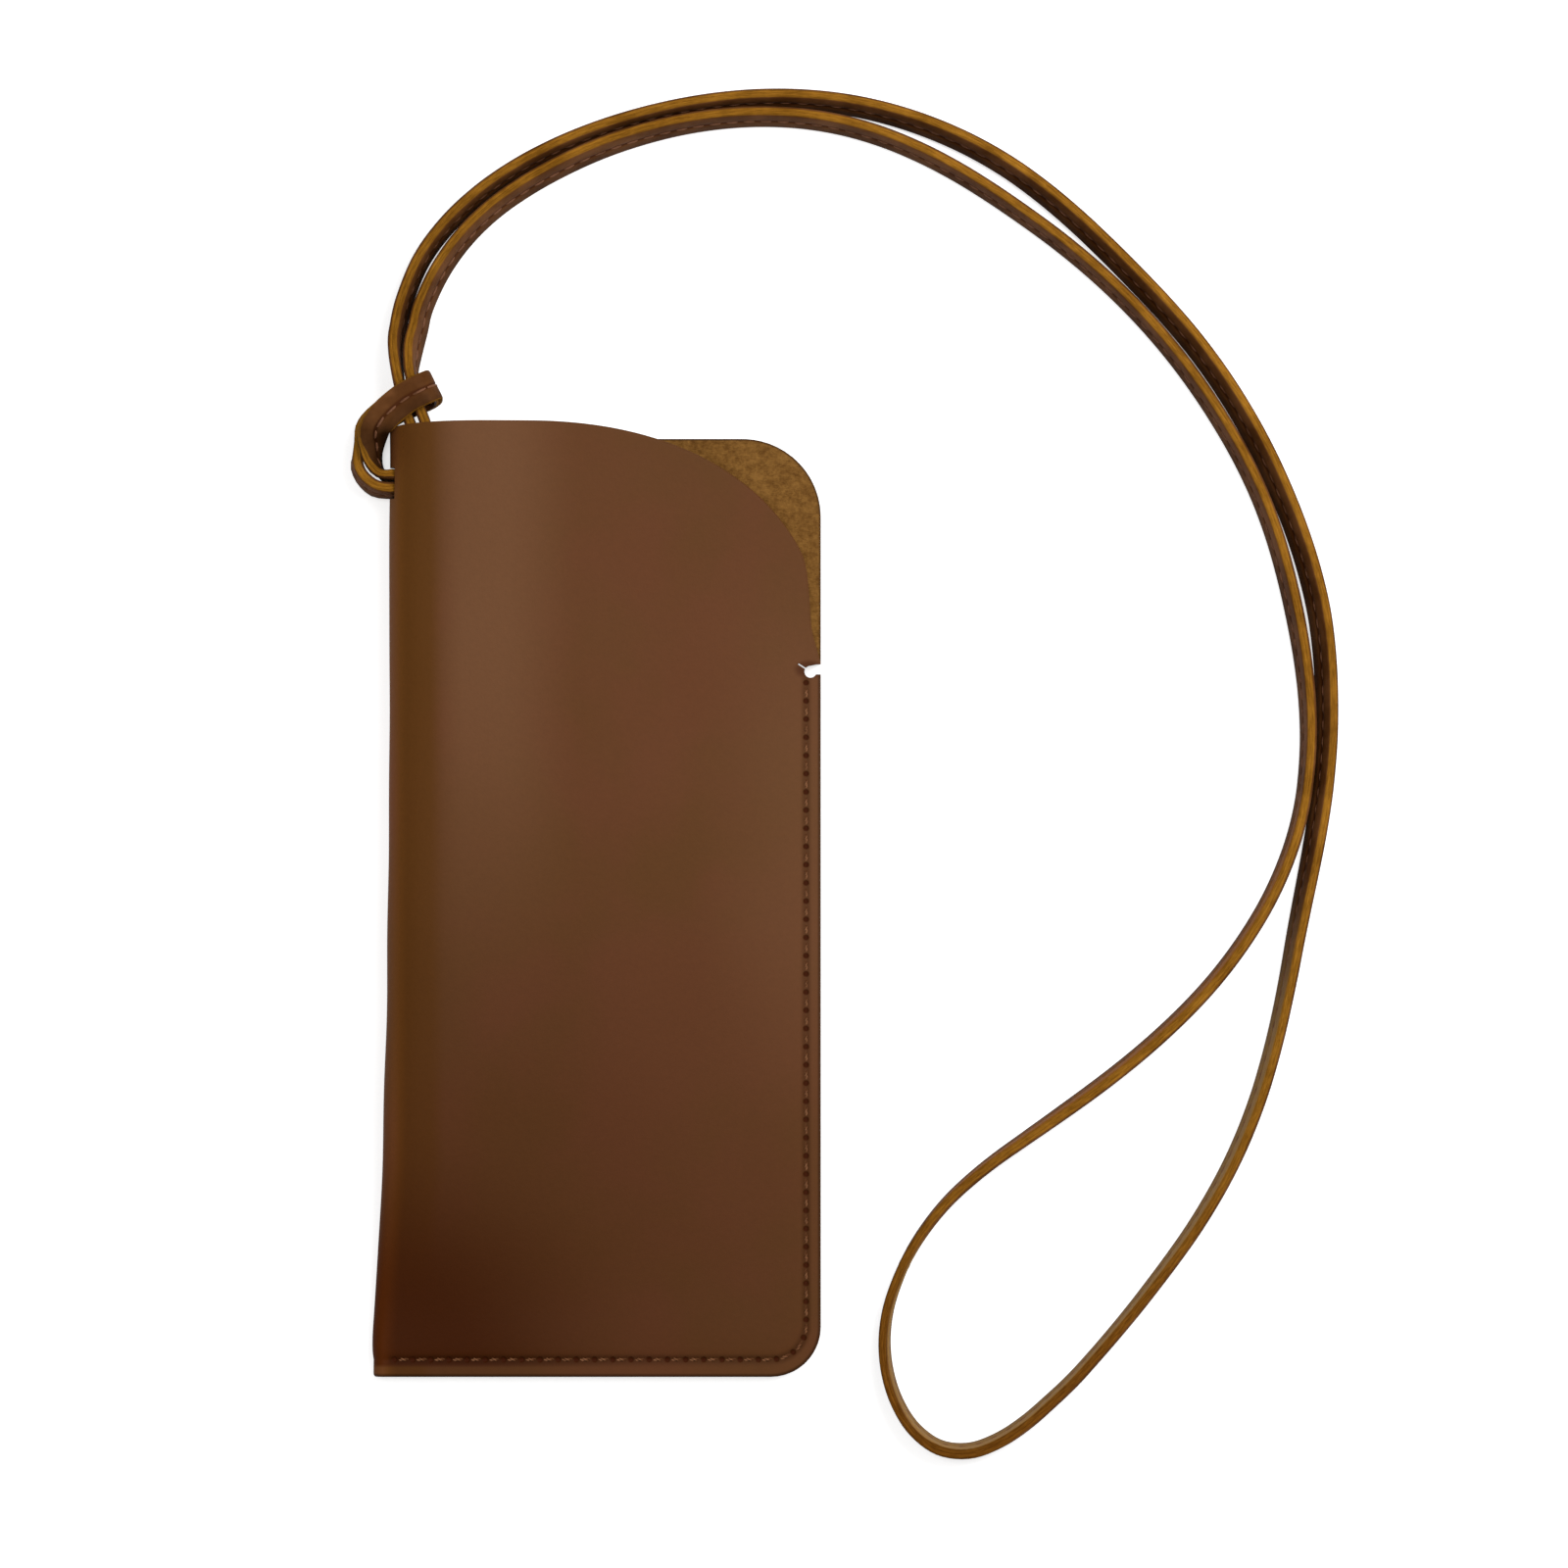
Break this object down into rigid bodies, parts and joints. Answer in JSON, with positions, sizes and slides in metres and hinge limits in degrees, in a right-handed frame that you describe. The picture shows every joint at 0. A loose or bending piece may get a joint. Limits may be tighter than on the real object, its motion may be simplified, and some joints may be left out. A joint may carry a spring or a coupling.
{
  "type": "glasses case",
  "caption": "Soft leather glasses sleeve, folded at the spine and stitched on two sides, with a cut-away front lip and a flat stitched neck lanyard hitched through a slot.",
  "frame": {"origin": "middle of the sleeve's underside, on the surface that it lies on", "axes": "+X across the sleeve to the stitched side, +Y up the sleeve to the mouth, +Z out of the front panel"},
  "size_m": [0.1862, 0.259, 0.0121],
  "materials": {
    "brown_grain_leather": "fine-grained brown leather, satin, mottled darker and lighter",
    "ochre_suede": "ochre-brown suede flesh side, matt and fibrous",
    "brown_thread": "brown twisted sewing thread",
    "strap_leather": "two plies back to back: brown grain faces, raw ochre edges"
  },
  "bodies": {
    "case": {"case_shell": "brown_grain_leather", "case_lining": "ochre_suede", "needle_thread": "brown_thread", "bobbin_thread": "brown_thread", "lanyard_hitch": "strap_leather", "lanyard_loop": "strap_leather"},
    "lip": {"front_lip": "brown_grain_leather", "lip_lining": "ochre_suede"}
  },
  "joints": [
    {"name": "lip_open", "type": "hinge", "parent": "case", "child": "lip", "pos_m": [0.038, 0.04445, 0.00439], "axis": [0.7718, -0.6291, -0.0922], "range_deg": [0, 40], "stiffness_Nm_per_rad": 0.002}
  ]
}
